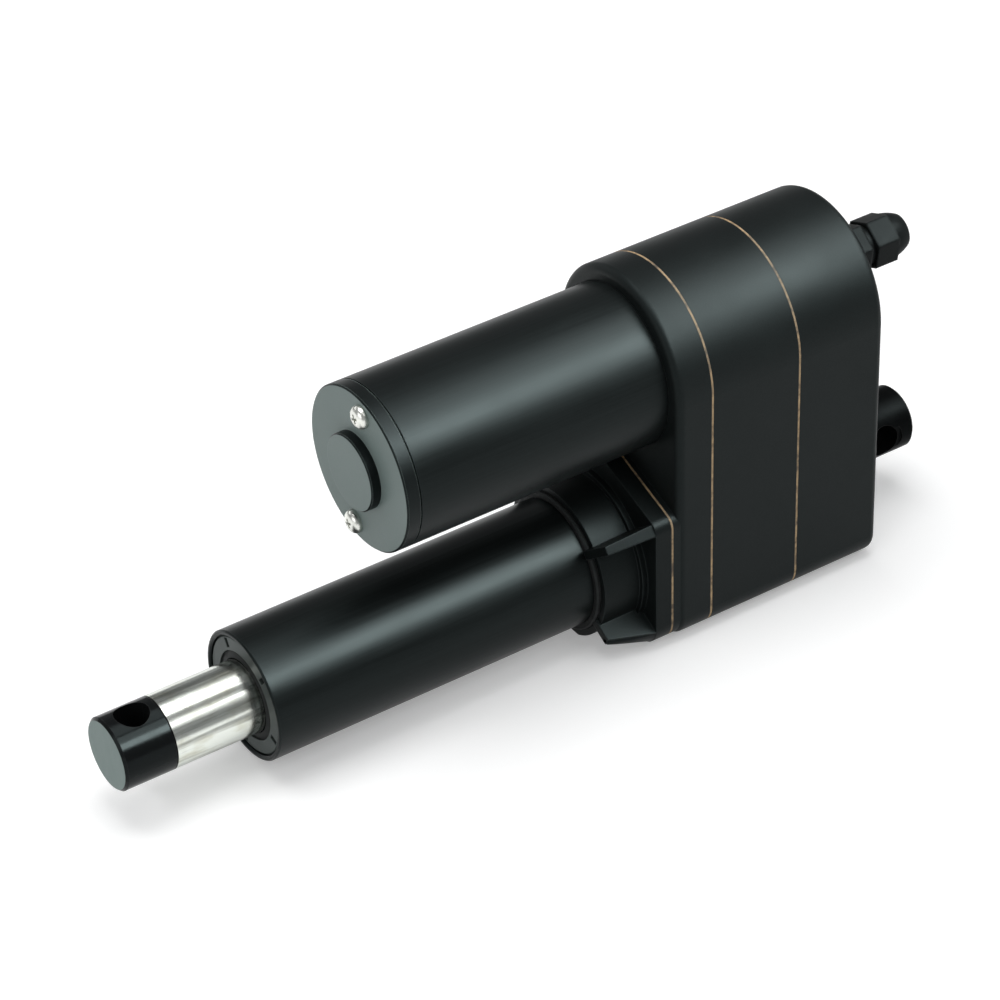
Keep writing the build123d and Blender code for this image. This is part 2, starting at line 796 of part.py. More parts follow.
pilot_rear = motor_rear - pilot_length
plate_front = motor_rear + motor_plate_thickness
bearing_front = plate_front + motor_bearing_proud
motor_plate = turned(
    [
        (pilot_rear, motor_shaft_radius + shaft_opening), (pilot_rear, pilot_radius - fit),
        (motor_rear, pilot_radius - fit), (motor_rear, can_bore - fit),
        (plate_front, can_bore - fit), (plate_front, motor_bearing_radius + motor_bearing_wall),
        (bearing_front, motor_bearing_radius + motor_bearing_wall), (bearing_front, motor_bearing_radius),
        (bearing_front - motor_bearing_width, motor_bearing_radius),
        (bearing_front - motor_bearing_width, motor_shaft_radius + shaft_opening),
    ],
    motor_level,
)
save(motor_plate, "motor_plate")

rear_pocket = can_front - cap_bearing_proud
boss_front = cap_front + cap_boss_height
cap_pocket = rear_pocket + motor_bearing_width
shaft_hollow = cap_pocket + 2 * shaft_end_gap
motor_end_cap_blank = turned(
    [
        (rear_pocket, motor_bearing_radius), (rear_pocket, motor_bearing_radius + motor_bearing_wall),
        (can_front, motor_bearing_radius + motor_bearing_wall), (can_front, motor_radius - cap_groove),
        (can_front + cap_groove, motor_radius - cap_groove), (can_front + cap_groove, motor_radius),
        (cap_front - cap_groove, motor_radius), (cap_front, motor_radius - cap_groove),
        (cap_front, cap_boss_radius), (boss_front - cap_boss_chamfer, cap_boss_radius),
        (boss_front, cap_boss_radius - cap_boss_chamfer), (boss_front, 0),
        (shaft_hollow, 0), (shaft_hollow, motor_shaft_radius + shaft_opening),
        (cap_pocket, motor_shaft_radius + shaft_opening), (cap_pocket, motor_bearing_radius),
    ],
    motor_level,
)
with BuildPart() as motor_end_cap:
    add(motor_end_cap_blank)
    with BuildSketch(Plane.YZ.offset(can_front)):
        with Locations(*cap_screw_places):
            Circle(cap_screw_shank + fit)
    extrude(amount=cap_thickness, mode=Mode.SUBTRACT)
save(motor_end_cap.part, "motor_end_cap")

for name, (across, level) in zip(("upper", "lower"), cap_screw_places):
    head_round = cap_screw_head / 2
    cap_screw = turned(
        [
            (cap_front - cap_screw_length, 0), (cap_front - cap_screw_length, cap_screw_shank),
            (cap_front, cap_screw_shank),
            (cap_front, cap_screw_radius), (cap_front + head_round, cap_screw_radius),
            (cap_front + cap_screw_head, cap_screw_top), (cap_front + cap_screw_head, 0),
        ],
        level,
        across,
    )
    save(cap_screw, f"cap_screw_{name}")

core_radius = can_bore - magnet_thickness - air_gap
magnet_rear = plate_front + magnet_setback
for name, middle_angle in (("left", 0), ("right", 180)):
    with BuildPart() as magnet:
        with BuildSketch(Plane(origin=(magnet_rear, 0, motor_level), x_dir=(0, 1, 0), z_dir=(1, 0, 0))):
            with BuildLine():
                first_angle = middle_angle - magnet_arc / 2
                outer_arc = CenterArc((0, 0), can_bore - fit, first_angle, magnet_arc)
                inner_arc = CenterArc((0, 0), can_bore - magnet_thickness, first_angle, magnet_arc)
                Line(outer_arc @ 0, inner_arc @ 0)
                Line(outer_arc @ 1, inner_arc @ 1)
            make_face()
        extrude(amount=magnet_length)
    save(magnet.part, f"magnet_{name}")

front_bearing_rear = bearing_front - motor_bearing_width
for name, start in (("front", front_bearing_rear), ("rear", rear_pocket)):
    motor_bearing = bearing_part(
        start, start + motor_bearing_width, motor_shaft_radius, motor_bearing_radius, motor_level
    )
    save(motor_bearing, f"motor_bearing_{name}")

core_rear = magnet_rear + (magnet_length - core_length) / 2
core_front = core_rear + core_length
commutator_rear = core_front + winding_length + commutator_collar
commutator_front = commutator_rear + commutator_length
brush_middle = (commutator_rear + commutator_front) / 2
brush_start = commutator_radius + running
with BuildPart() as brush_holder:
    with BuildSketch(Plane.YZ.offset(commutator_front)):
        with Locations((0, motor_level)):
            Circle(can_bore - fit)
            Circle(commutator_radius + holder_gap, mode=Mode.SUBTRACT)
        with Locations(*cap_screw_places):
            Circle(cap_screw_shank + shaft_opening, mode=Mode.SUBTRACT)
    extrude(amount=holder_thickness)
    for direction in (1, -1):
        with BuildSketch(Plane.YZ.offset(brush_middle - brush_width / 2)):
            with Locations((direction * (brush_start + brush_length / 2 + holder_gap), motor_level)):
                Rectangle(brush_length, brush_width + 2 * holder_wall)
                Rectangle(brush_length, brush_width, mode=Mode.SUBTRACT)
        extrude(amount=commutator_front - brush_middle + brush_width / 2)
save(brush_holder.part, "brush_holder")

for name, direction in (("left", 1), ("right", -1)):
    with BuildPart() as brush:
        with BuildSketch(Plane.YZ.offset(brush_middle - brush_width / 2)):
            with Locations((direction * (brush_start + brush_length / 2), motor_level)):
                Rectangle(brush_length, brush_width - 2 * fit)
        extrude(amount=brush_width)
    save(brush.part, f"brush_{name}")

# Rotor: shaft, slotted core, windings, commutator and pinion
motor_pinion_rear = wheel_front - motor_pinion_width + gear_gap
rotor_shaft = ring(motor_pinion_rear, shaft_hollow - shaft_end_gap, 0.0, motor_shaft_radius, motor_level)
save(rotor_shaft, "rotor_shaft")

with BuildPart() as armature_core:
    with BuildSketch(Plane.YZ.offset(core_rear)):
        with Locations((0, motor_level)):
            Circle(core_radius)
            with PolarLocations(core_radius - core_slot_depth / 2, core_slots):
                Rectangle(core_slot_depth, core_slot_width, mode=Mode.SUBTRACT)
            Circle(motor_shaft_radius + fit, mode=Mode.SUBTRACT)
    extrude(amount=core_length)
save(armature_core.part, "armature_core")

for name, start in (("rear", core_rear - winding_length), ("front", core_front)):
    winding = turned(
        [
            (start, motor_shaft_radius + fit), (start, winding_radius - winding_round),
            (start + winding_round, winding_radius), (start + winding_length - winding_round, winding_radius),
            (start + winding_length, winding_radius - winding_round),
            (start + winding_length, motor_shaft_radius + fit),
        ],
        motor_level,
    )
    save(winding, f"winding_{name}")

commutator = turned(
    [
        (core_front + winding_length, motor_shaft_radius + fit),
        (core_front + winding_length, commutator_radius + commutator_riser),
        (commutator_rear, commutator_radius + commutator_riser), (commutator_rear, commutator_radius),
        (commutator_front, commutator_radius), (commutator_front, motor_shaft_radius + fit),
    ],
    motor_level,
)
save(commutator, "commutator")

with BuildPart() as motor_pinion:
    extrude(
        gear_section(motor_pinion_rear, motor_level, first_module, motor_teeth, -90, first_backlash),
        amount=motor_pinion_width,
    )
    with BuildSketch(Plane.YZ.offset(motor_pinion_rear)):
        with Locations((0, motor_level)):
            Circle(motor_shaft_radius + fit)
    extrude(amount=motor_pinion_width, mode=Mode.SUBTRACT)
save(motor_pinion.part, "motor_pinion")

# Cable gland: body, compression nut, rubber seal and the lock nut inside
gland_thread_end = rear_face + rear_wall + gland_lock_height + gland_thread_proud
body_rear = rear_face - gland_body_length
nut_start = body_rear - gland_groove_length
with BuildPart() as gland_body:
    with BuildSketch(Plane.YZ.offset(body_rear)):
        with Locations((gland_side, gland_level)):
            RegularPolygon(gland_flats / 2, 6, major_radius=False, rotation=gland_turn)
    extrude(amount=gland_body_length)
    with BuildSketch(Plane.YZ.offset(nut_start)):
        with Locations((gland_side, gland_level)):
            Circle(gland_groove_radius)
    extrude(amount=gland_groove_length)
    with BuildSketch(Plane.YZ.offset(rear_face)):
        with Locations((gland_side, gland_level)):
            Circle(gland_thread_radius)
    extrude(amount=gland_thread_end - rear_face)
    with BuildSketch(Plane.YZ.offset(nut_start)):
        with Locations((gland_side, gland_level)):
            Circle(gland_bore + gland_seal_wall)
    extrude(amount=gland_thread_end - nut_start, mode=Mode.SUBTRACT)
save(gland_body.part, "gland_body")

dome_rear = nut_start - gland_nut_length
dome_end = dome_rear - gland_dome_length
gland_seat = gland_flats / 2
dome_rise = min(gland_dome_bulge, gland_dome_length) / 4
with BuildPart() as gland_nut:
    with BuildSketch(Plane.YZ.offset(dome_rear)):
        with Locations((gland_side, gland_level)):
            RegularPolygon(gland_flats / 2, 6, major_radius=False, rotation=gland_turn)
    extrude(amount=gland_nut_length)
    with BuildSketch(Plane(origin=(0, gland_side, gland_level), x_dir=(1, 0, 0), z_dir=(0, -1, 0))):
        with BuildLine():
            Line((dome_rear, 0), (dome_rear, gland_seat))
            ThreePointArc(
                (dome_rear, gland_seat),
                (dome_rear - gland_dome_length / 2, (gland_seat + gland_dome_radius) / 2 + dome_rise),
                (dome_end, gland_dome_radius),
            )
            Line((dome_end, gland_dome_radius), (dome_end, 0))
            Line((dome_end, 0), (dome_rear, 0))
        make_face()
    revolve(axis=Axis((0, gland_side, gland_level), (1, 0, 0)))
    with BuildSketch(Plane.YZ.offset(dome_end)):
        with Locations((gland_side, gland_level)):
            Circle(gland_bore + gland_seal_wall)
    extrude(amount=nut_start - dome_end, mode=Mode.SUBTRACT)
save(gland_nut.part, "gland_nut")

gland_seal = ring(
    dome_end + gland_seal_inset, rear_face, gland_bore, gland_bore + gland_seal_wall - fit,
    gland_level, gland_side,
)
save(gland_seal, "gland_seal")

lock_start = rear_face + rear_wall
gland_lock_nut = ring(
    lock_start, lock_start + gland_lock_height, gland_thread_radius + fit, gland_lock_radius,
    gland_level, gland_side,
)
save(gland_lock_nut, "gland_lock_nut")
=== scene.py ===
import math

import bmesh
import bpy
from mathutils import Matrix, Vector


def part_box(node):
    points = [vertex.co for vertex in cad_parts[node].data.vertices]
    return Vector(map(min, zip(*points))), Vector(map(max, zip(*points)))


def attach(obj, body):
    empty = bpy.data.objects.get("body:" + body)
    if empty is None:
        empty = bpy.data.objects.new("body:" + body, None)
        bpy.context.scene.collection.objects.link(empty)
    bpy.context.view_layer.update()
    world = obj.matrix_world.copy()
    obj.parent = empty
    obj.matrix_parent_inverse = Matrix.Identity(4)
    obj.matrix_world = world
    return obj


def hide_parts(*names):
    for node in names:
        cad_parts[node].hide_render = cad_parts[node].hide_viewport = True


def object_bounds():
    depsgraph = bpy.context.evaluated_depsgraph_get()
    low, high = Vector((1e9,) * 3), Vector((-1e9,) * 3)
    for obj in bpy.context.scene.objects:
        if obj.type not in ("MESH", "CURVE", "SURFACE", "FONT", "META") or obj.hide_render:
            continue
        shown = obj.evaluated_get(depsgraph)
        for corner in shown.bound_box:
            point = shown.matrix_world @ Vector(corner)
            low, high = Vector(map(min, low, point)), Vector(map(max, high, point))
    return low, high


bl_info = {
    "name": "Electric linear actuator",
    "version": (1, 0, 0),
    "blender": (4, 5, 0),
    "location": "3D View > Sidebar > Actuator",
    "description": "Finishes, screws, thread and studio for a linear actuator with a parallel motor",
    "category": "Object",
}

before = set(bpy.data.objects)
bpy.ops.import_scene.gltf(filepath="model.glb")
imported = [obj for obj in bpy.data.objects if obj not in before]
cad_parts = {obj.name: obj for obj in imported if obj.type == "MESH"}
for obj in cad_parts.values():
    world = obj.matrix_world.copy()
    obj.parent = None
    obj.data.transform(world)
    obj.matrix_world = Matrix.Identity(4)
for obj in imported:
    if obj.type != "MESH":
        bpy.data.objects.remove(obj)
cad_low, cad_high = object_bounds()
MM = 0.001
# Tint of the gloss on all that isn't metal
COOL_SHEEN = (0.80, 1.0, 1.0, 1.0)
# Cosine between a face's own normal and its rounded one: an edge gets its full lighter colour, a painted
# highlight made patchy like wear, below the first value and none above the second
EDGE_MARK_FULL_BELOW = 0.80
EDGE_MARK_NONE_ABOVE = 0.985
# Cosine from which a face counts as looking along +X
FRONT_COSINE = 0.95
# Edges of the scene's own pieces stay sharp above this angle, in degrees
SHARP_ANGLE = 30.0


class ActuatorSizes(bpy.types.PropertyGroup):
    """Sizes of the detail that is added to the solids"""

    head_dome: bpy.props.FloatProperty(
        name="Screw head dome", description="Height of the rounded top of a motor cap screw",
        default=2.3 * MM, min=0.0, unit="LENGTH",
    )
    head_margin: bpy.props.FloatProperty(
        name="Screw head margin",
        description="How far a motor cap screw's round head stands out of its plain solid",
        default=0.40 * MM, min=0.0, unit="LENGTH",
    )
    recess_width: bpy.props.FloatProperty(
        name="Cross recess width", description="Width of one slot of the cross in a motor cap screw",
        default=1.3 * MM, min=0.0002, unit="LENGTH",
    )
    recess_span: bpy.props.FloatProperty(
        name="Cross recess span", description="Length of one slot of the cross in a motor cap screw",
        default=5.0 * MM, min=0.001, unit="LENGTH",
    )
    recess_depth: bpy.props.FloatProperty(
        name="Cross recess depth", description="Depth of the cross in a motor cap screw",
        default=1.8 * MM, min=0.0002, unit="LENGTH",
    )
    post_length: bpy.props.FloatProperty(
        name="Flange post length", description="How far the tube flange's posts stand out of its plate",
        default=20.8 * MM, min=0.001, unit="LENGTH",
    )
    foot_length: bpy.props.FloatProperty(
        name="Gusset foot length", description="Length of the foot under each gusset of the tube flange",
        default=18.6 * MM, min=0.001, unit="LENGTH",
    )
    foot_thickness: bpy.props.FloatProperty(
        name="Gusset foot thickness",
        description="Thickness of the foot under each gusset of the tube flange",
        default=3.0 * MM, min=0.001, unit="LENGTH",
    )
    thread_pitch: bpy.props.FloatProperty(
        name="Screw lead", description="Distance between two turns of the lead screw's thread",
        default=5.0 * MM, min=0.001, unit="LENGTH",
    )
    thread_depth: bpy.props.FloatProperty(
        name="Thread depth", description="Depth of the lead screw's trapezoid thread",
        default=2.2 * MM, min=0.0005, unit="LENGTH",
    )


class ActuatorColours(bpy.types.PropertyGroup):
    """Colours and roughness of the visible finishes"""

    paint: bpy.props.FloatVectorProperty(
        name="Black coat", description="Colour of the satin coat on housing, tube and motor",
        default=(0.0042, 0.0052, 0.0052), size=3, min=0.0, max=1.0, subtype="COLOR",
    )
    paint_roughness: bpy.props.FloatProperty(
        name="Coat roughness", description="Roughness of the satin coat",
        default=0.45, min=0.0, max=1.0, subtype="FACTOR",
    )
    can_roughness: bpy.props.FloatProperty(
        name="Can roughness", description="Roughness of the motor can and the tube",
        default=0.36, min=0.0, max=1.0, subtype="FACTOR",
    )
    gloss_black: bpy.props.FloatVectorProperty(
        name="Gloss black", description="Colour of the enamel on the rod end and the rear eye",
        default=(0.006, 0.0065, 0.0068), size=3, min=0.0, max=1.0, subtype="COLOR",
    )
    # Painted reflection: the front faces of motor cap and rod end get a lighter grey that stands in for the
    # light they reflect
    painted_face_reflection: bpy.props.FloatVectorProperty(
        name="Grey face", description="Colour of the thinly coated front faces of motor cap and rod end",
        default=(0.140, 0.176, 0.168), size=3, min=0.0, max=1.0, subtype="COLOR",
    )
    gasket: bpy.props.FloatVectorProperty(
        name="Gasket board", description="Colour of the gaskets between the housings",
        default=(0.42, 0.27, 0.13), size=3, min=0.0, max=1.0, subtype="COLOR",
    )
    steel: bpy.props.FloatVectorProperty(
        name="Bright steel", description="Colour of the extension rod",
        default=(0.72, 0.75, 0.70), size=3, min=0.0, max=1.0, subtype="COLOR",
    )
    nickel: bpy.props.FloatVectorProperty(
        name="Nickel", description="Colour of the motor cap screws",
        default=(0.78, 0.79, 0.74), size=3, min=0.0, max=1.0, subtype="COLOR",
    )


class ActuatorStudio(bpy.types.PropertyGroup):
    """Camera, floor and lamps"""

    focal_length: bpy.props.FloatProperty(
        name="Focal length", description="Lens of the camera in millimetres",
        default=144.8, min=10.0, unit="CAMERA",
    )
    azimuth: bpy.props.FloatProperty(
        name="Azimuth", description="Direction of the camera round the object",
        default=math.radians(147.2), subtype="ANGLE", unit="ROTATION",
    )
    elevation: bpy.props.FloatProperty(
        name="Elevation", description="Height of the camera above the horizon",
        default=math.radians(36.7), subtype="ANGLE", unit="ROTATION",
    )
    roll: bpy.props.FloatProperty(
        name="Roll", description="Turn of the camera about its own axis",
        default=math.radians(-1.8), subtype="ANGLE", unit="ROTATION",
    )
    place: bpy.props.FloatVectorProperty(
        name="Place", description="Place of the camera",
        default=(0.7962, 0.9754, 0.9032), size=3, subtype="TRANSLATION", unit="LENGTH",
    )
    world: bpy.props.FloatProperty(
        name="Sky level", description="Strength of the even light from all sides", default=0.30, min=0.0,
    )
    key: bpy.props.FloatProperty(
        name="Key power", description="Power of the lamp above the side that the camera sees",
        default=2.6, min=0.0, unit="POWER",
    )
    top: bpy.props.FloatProperty(
        name="Top power", description="Power of the lamp above",
        default=14.0, min=0.0, unit="POWER",
    )
    front: bpy.props.FloatProperty(
        name="Front power", description="Power of the lamp before the rod end",
        default=5.0, min=0.0, unit="POWER",
    )
    edge: bpy.props.FloatProperty(
        name="Edge power", description="Power of the long lamp on the far side",
        default=2.2, min=0.0, unit="POWER",
    )
    floor_glow: bpy.props.FloatProperty(
        name="Floor glow", description="Light of its own that the camera sees on the floor round the object",
        default=0.27, min=0.0, max=1.0, subtype="FACTOR",
    )
    sheen: bpy.props.FloatProperty(
        name="Sheen power", description="Power of the two wide panels that only show as gloss",
        default=44.0, min=0.0, unit="POWER",
    )


# Finishes

def start_material(name, colour, roughness, metallic=0.0, gloss=0.5):
    """A new material with its constants on the shader's own sockets."""
    material = bpy.data.materials.new(name)
    material.use_nodes = True
    shader = material.node_tree.nodes["Principled BSDF"]
    shader.inputs["Base Color"].default_value = (*colour, 1.0)
    shader.inputs["Roughness"].default_value = roughness
    shader.inputs["Metallic"].default_value = metallic
    if metallic == 0.0:
        shader.inputs["Specular Tint"].default_value = COOL_SHEEN
    shader.inputs["Specular IOR Level"].default_value = gloss
    material.diffuse_color = (*colour, 1.0)
    return material, material.node_tree, shader


def placed(tree, scale=(1.0, 1.0, 1.0)):
    """Object coordinates, stretched through a Mapping node."""
    coordinates = tree.nodes.new("ShaderNodeTexCoord")
    mapping = tree.nodes.new("ShaderNodeMapping")
    mapping.inputs["Scale"].default_value = scale
    tree.links.new(coordinates.outputs["Object"], mapping.inputs["Vector"])
    return mapping.outputs["Vector"]


def noise(tree, vector, scale, detail=3.0, roughness=0.55):
    """The grey value of a Noise texture."""
    node = tree.nodes.new("ShaderNodeTexNoise")
    node.inputs["Scale"].default_value = scale
    node.inputs["Detail"].default_value = detail
    node.inputs["Roughness"].default_value = roughness
    tree.links.new(vector, node.inputs["Vector"])
    return node.outputs["Fac"]


def ramp(tree, value, low, high, start=0.0, end=1.0):
    """A colour that goes from low to high as value goes from start to end."""
    node = tree.nodes.new("ShaderNodeValToRGB")
    for element, place, colour in zip(node.color_ramp.elements, (start, end), (low, high)):
        element.position = place
        element.color = (*colour, 1.0)
    tree.links.new(value, node.inputs["Fac"])
    return node.outputs["Color"]


def spread(tree, value, low, high, start, end):
    """A number that goes from low to high as value goes from start to end."""
    node = tree.nodes.new("ShaderNodeMapRange")
    node.inputs["From Min"].default_value = start
    node.inputs["From Max"].default_value = end
    node.inputs["To Min"].default_value = low
    node.inputs["To Max"].default_value = high
    tree.links.new(value, node.inputs["Value"])
    return node.outputs["Result"]


def combine(tree, operation, first, second):
    """A Math node on two values, which may be numbers or sockets."""
    node = tree.nodes.new("ShaderNodeMath")
    node.operation = operation
    for socket, value in zip(node.inputs, (first, second)):
        if isinstance(value, (int, float)):
            socket.default_value = value
        else:
            tree.links.new(value, socket)
    return node.outputs["Value"]


def rounded(tree, radius):
    """The normal with edges rounded off, and a mask that is 1 on those edges."""
    node = tree.nodes.new("ShaderNodeBevel")
    node.samples = 6
    node.inputs["Radius"].default_value = radius
    flat = tree.nodes.new("ShaderNodeNewGeometry")
    dot = tree.nodes.new("ShaderNodeVectorMath")
    dot.operation = "DOT_PRODUCT"
    tree.links.new(node.outputs["Normal"], dot.inputs[0])
    tree.links.new(flat.outputs["Normal"], dot.inputs[1])
    return node.outputs["Normal"], spread(tree, dot.outputs["Value"], 1.0, 0.0, EDGE_MARK_FULL_BELOW, EDGE_MARK_NONE_ABOVE)


def facing_front(tree, start):
    """1 on faces that look along +X and lie beyond x = start, 0 elsewhere."""
    coordinates = tree.nodes.new("ShaderNodeTexCoord")
    split = tree.nodes.new("ShaderNodeSeparateXYZ")
    tree.links.new(coordinates.outputs["Normal"], split.inputs["Vector"])
    place = tree.nodes.new("ShaderNodeSeparateXYZ")
    tree.links.new(coordinates.outputs["Object"], place.inputs["Vector"])
    beyond = combine(tree, "GREATER_THAN", place.outputs["X"], start)
    ahead = combine(tree, "GREATER_THAN", split.outputs["X"], FRONT_COSINE)
    return combine(tree, "MULTIPLY", beyond, ahead)


def bump(tree, shader, height, depth, normal=None):
    """Fine relief of the given depth in metres, on top of the rounded normal where one is given."""
    node = tree.nodes.new("ShaderNodeBump")
    node.inputs["Strength"].default_value = 1.0
    node.inputs["Distance"].default_value = depth
    if normal is not None:
        tree.links.new(normal, node.inputs["Normal"])
    tree.links.new(height, node.inputs["Height"])
    tree.links.new(node.outputs["Normal"], shader.inputs["Normal"])


def tint(colour, factor):
    """The colour made lighter or darker by a factor."""
    return tuple(min(1.0, c * factor) for c in colour)


def blended(tree, factor, first, second, kind="MIX"):
    """Two colours mixed by a factor, which may be a number or a socket."""
    node = tree.nodes.new("ShaderNodeMix")
    node.data_type = "RGBA"
    node.blend_type = kind
    for name, value in (("Factor", factor), ("A", first), ("B", second)):
        if isinstance(value, float):
            node.inputs[name].default_value = value
        elif isinstance(value, tuple):
            node.inputs[name].default_value = (*value, 1.0)
        else:
            tree.links.new(value, node.inputs[name])
    return node.outputs["Result"]


def coat(name, colour, roughness, grain, depth, gloss=0.12, edge=0.0004, face=None, start=0.0):
    """A thin coat over metal with fine orange peel and lighter edges, a painted highlight made patchy like
    wear.

    Where face is given, the faces beyond x = start that look along +X take that greyer colour, a painted
    reflection.
    """
    haze = 0.05
    material, tree, shader = start_material(name, colour, roughness, gloss=gloss)
    normal, edge_mask_wear_and_highlight = rounded(tree, edge)
    peel = noise(tree, placed(tree), grain, 4.0, 0.6)
    cloud = noise(tree, placed(tree), grain * 0.02, 3.0)
    speck = noise(tree, placed(tree), grain * 1.7, 2.0, 0.8)
    base = ramp(tree, speck, colour, tint(colour, 1.9), 0.45, 0.78)
    # Lighter colour on the edges: painted highlight, made patchy like wear
    edge_colour_wear_and_highlight = tint(colour, 7.0)
    if face is not None:
        # Painted reflection on the faces that look along +X
        reflected_grey = ramp(tree, speck, face, tint(face, 1.15), 0.45, 0.78)
        base = blended(tree, facing_front(tree, start), base, reflected_grey)
        edge_colour_wear_and_highlight = tint(face, 2.2)
    patchy_edge_wear_and_highlight = combine(tree, "MULTIPLY", edge_mask_wear_and_highlight, spread(tree, cloud, 0.25, 0.9, 0.35, 0.65))
    tree.links.new(blended(tree, patchy_edge_wear_and_highlight, base, edge_colour_wear_and_highlight), shader.inputs["Base Color"])
    tree.links.new(
        spread(tree, cloud, roughness - haze, roughness + haze, 0.3, 0.7), shader.inputs["Roughness"]
    )
    bump(tree, shader, peel, depth, normal=normal)
    return material


def drawn_coat(name, colour, roughness):
    """The coat on a drawn can or tube, with faint lines along it."""
    material, tree, shader = start_material(name, colour, roughness, gloss=0.13)
    normal, edge_mask_wear_and_highlight = rounded(tree, 0.0004)
    lines = noise(tree, placed(tree, (4.0, 260.0, 260.0)), 6.0, 4.0, 0.6)
    cloud = noise(tree, placed(tree), 26.0, 3.0)
    peel = noise(tree, placed(tree), 2600.0, 3.0, 0.6)
    base = ramp(tree, lines, tint(colour, 0.8), tint(colour, 1.5), 0.3, 0.75)
    # Lighter colour on the edges: painted highlight
    tree.links.new(blended(tree, edge_mask_wear_and_highlight, base, tint(colour, 8.0)), shader.inputs["Base Color"])
    tree.links.new(
        spread(tree, combine(tree, "ADD", lines, cloud), roughness - 0.05, roughness + 0.06, 0.6, 1.4),
        shader.inputs["Roughness"],
    )
    bump(tree, shader, combine(tree, "ADD", peel, lines), 0.000008, normal=normal)
    return material


def enamel(name, colour, roughness, gloss, face=None, start=0.0):
    """Gloss enamel with fine dust and faint wipe marks.

    Where face is given, the end beyond x = start has that colour, a painted reflection, and is matt.
    """
    material, tree, shader = start_material(name, colour, roughness, gloss=gloss)
    normal, edge_mask_wear_and_highlight = rounded(tree, 0.0003)
    dust = noise(tree, placed(tree), 3800.0, 2.0, 0.8)
    wipe = noise(tree, placed(tree, (1.0, 1.0, 0.3)), 120.0, 4.0, 0.7)
    base = ramp(tree, dust, colour, tint(colour, 5.0), 0.68, 0.8)
    # Edges lighter towards grey: painted highlight
    base = blended(tree, combine(tree, "MULTIPLY", edge_mask_wear_and_highlight, 0.35), base, (0.12, 0.12, 0.12))
    haze = spread(tree, wipe, roughness - 0.04, roughness + 0.10, 0.35, 0.75)
    if face is not None:
        # Painted reflection on the end face
        end = facing_front(tree, start)
        base = blended(tree, end, base, face)
        haze = combine(tree, "ADD", haze, combine(tree, "MULTIPLY", end, 0.34))
    tree.links.new(base, shader.inputs["Base Color"])
    tree.links.new(haze, shader.inputs["Roughness"])
    bump(tree, shader, wipe, 0.00001, normal=normal)
    return material


def polished_rod(name, colour):
    """Drawn and ground steel: long dark streaks that are painted reflections, faint rings and some brown
    bloom.
    """
    material, tree, shader = start_material(name, colour, 0.2, 1.0)
    reflection_streaks = noise(tree, placed(tree, (7.0, 190.0, 190.0)), 1.6, 4.0, 0.58)
    rings = noise(tree, placed(tree, (1400.0, 10.0, 10.0)), 2.2, 3.0, 0.5)
    bloom = noise(tree, placed(tree, (40.0, 95.0, 95.0)), 1.7, 4.0, 0.6)
    # Painted reflection: dark streaks along the rod stand in for the dark surroundings it mirrors
    base = ramp(tree, reflection_streaks, tint(colour, 0.30), colour, 0.36, 0.56)
    brown = ramp(tree, bloom, (1.0, 1.0, 1.0), (0.60, 0.56, 0.44), 0.48, 0.78)
    tree.links.new(blended(tree, 0.8, base, brown, "MULTIPLY"), shader.inputs["Base Color"])
    tree.links.new(spread(tree, reflection_streaks, 0.30, 0.16, 0.25, 0.7), shader.inputs["Roughness"])
    bump(tree, shader, combine(tree, "ADD", rings, reflection_streaks), 0.000012)
    return material


def ground_steel(name, colour, roughness, line_scale):
    """Turned or ground steel with fine tool lines round the X axis."""
    material, tree, shader = start_material(name, colour, roughness, 1.0)
    lines = noise(tree, placed(tree, (line_scale, 14.0, 14.0)), 2.0, 3.0, 0.5)
    stain = noise(tree, placed(tree), 55.0, 4.0, 0.6)
    base = ramp(tree, stain, tint(colour, 0.72), tint(colour, 1.08), 0.35, 0.7)
    tree.links.new(base, shader.inputs["Base Color"])
    sheen = spread(tree, lines, roughness - 0.07, roughness + 0.12, 0.3, 0.7)
    tree.links.new(sheen, shader.inputs["Roughness"])
    bump(tree, shader, lines, 0.00001)
    return material


def moulding(name, colour, roughness, grain=1500.0, gloss=0.3, edge=0.0003):
    """Moulded nylon or acetal with a fine spark grain, faint flow marks and soft edges."""
    material, tree, shader = start_material(name, colour, roughness, gloss=gloss)
    normal, _ = rounded(tree, edge)
    spark = noise(tree, placed(tree), grain, 3.0, 0.7)
    flow = noise(tree, placed(tree, (1.0, 2.5, 1.0)), 60.0, 3.0)
    base = ramp(tree, flow, tint(colour, 0.8), tint(colour, 1.3), 0.3, 0.72)
    tree.links.new(base, shader.inputs["Base Color"])
    sheen = spread(tree, flow, roughness - 0.06, roughness + 0.08, 0.3, 0.7)
    tree.links.new(sheen, shader.inputs["Roughness"])
    bump(tree, shader, spark, 0.00002, normal=normal)
    return material


def fibre_board(name, colour):
    """Pressed fibre gasket board with long fibres and oil stains."""
    material, tree, shader = start_material(name, colour, 0.75)
    fibre = noise(tree, placed(tree, (900.0, 260.0, 260.0)), 2.0, 5.0, 0.7)
    stain = noise(tree, placed(tree), 170.0, 4.0, 0.65)
    base = ramp(tree, fibre, tint(colour, 0.55), tint(colour, 1.25), 0.3, 0.72)
    oil = ramp(tree, stain, (0.22, 0.18, 0.15), (1.0, 1.0, 1.0), 0.36, 0.56)
    tree.links.new(blended(tree, 1.0, base, oil, "MULTIPLY"), shader.inputs["Base Color"])
    bump(tree, shader, fibre, 0.00004)
    return material


def rubber(name, colour):
    """Dull rubber with a fine grain and a pale bloom."""
    roughness = 0.6
    material, tree, shader = start_material(name, colour, roughness, gloss=0.14)
    grain = noise(tree, placed(tree), 2400.0, 3.0, 0.7)
    bloom = noise(tree, placed(tree), 240.0, 4.0)
    tree.links.new(ramp(tree, bloom, colour, tint(colour, 2.4), 0.45, 0.8), shader.inputs["Base Color"])
    sheen = spread(tree, bloom, roughness - 0.08, roughness + 0.12, 0.3, 0.7)
    tree.links.new(sheen, shader.inputs["Roughness"])
    bump(tree, shader, grain, 0.00002)
    return material


